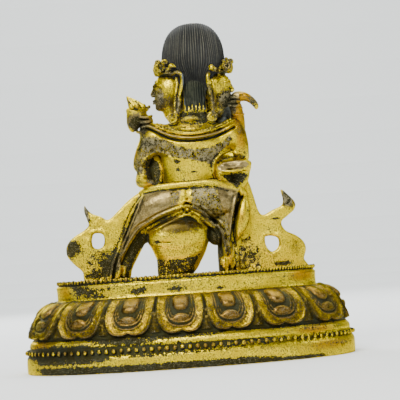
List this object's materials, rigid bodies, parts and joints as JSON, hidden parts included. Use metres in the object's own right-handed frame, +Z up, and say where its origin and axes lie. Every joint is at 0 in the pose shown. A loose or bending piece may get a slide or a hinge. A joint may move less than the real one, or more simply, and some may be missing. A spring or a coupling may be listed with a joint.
{
  "type": "yogambara figure",
  "caption": "Small gilt bronze figure with three faces and six arms embracing a consort, on an oval lotus plinth with two rows of beads.",
  "frame": {"origin": "middle of the plinth's underside, in the plane that it stands on", "axes": "+Z up; +Y the way the figure faces, -Y its back with the combed hair and the skirt; +X the figure's right, on the right when it is seen from the back"},
  "size_m": [0.0862, 0.0572, 0.0885],
  "materials": {
    "gilt_casting": "worn",
    "gilt_plinth": "worn"
  },
  "bodies": {
    "root": {"figure": "gilt_casting", "lotus_plinth": "gilt_plinth"}
  },
  "joints": []
}
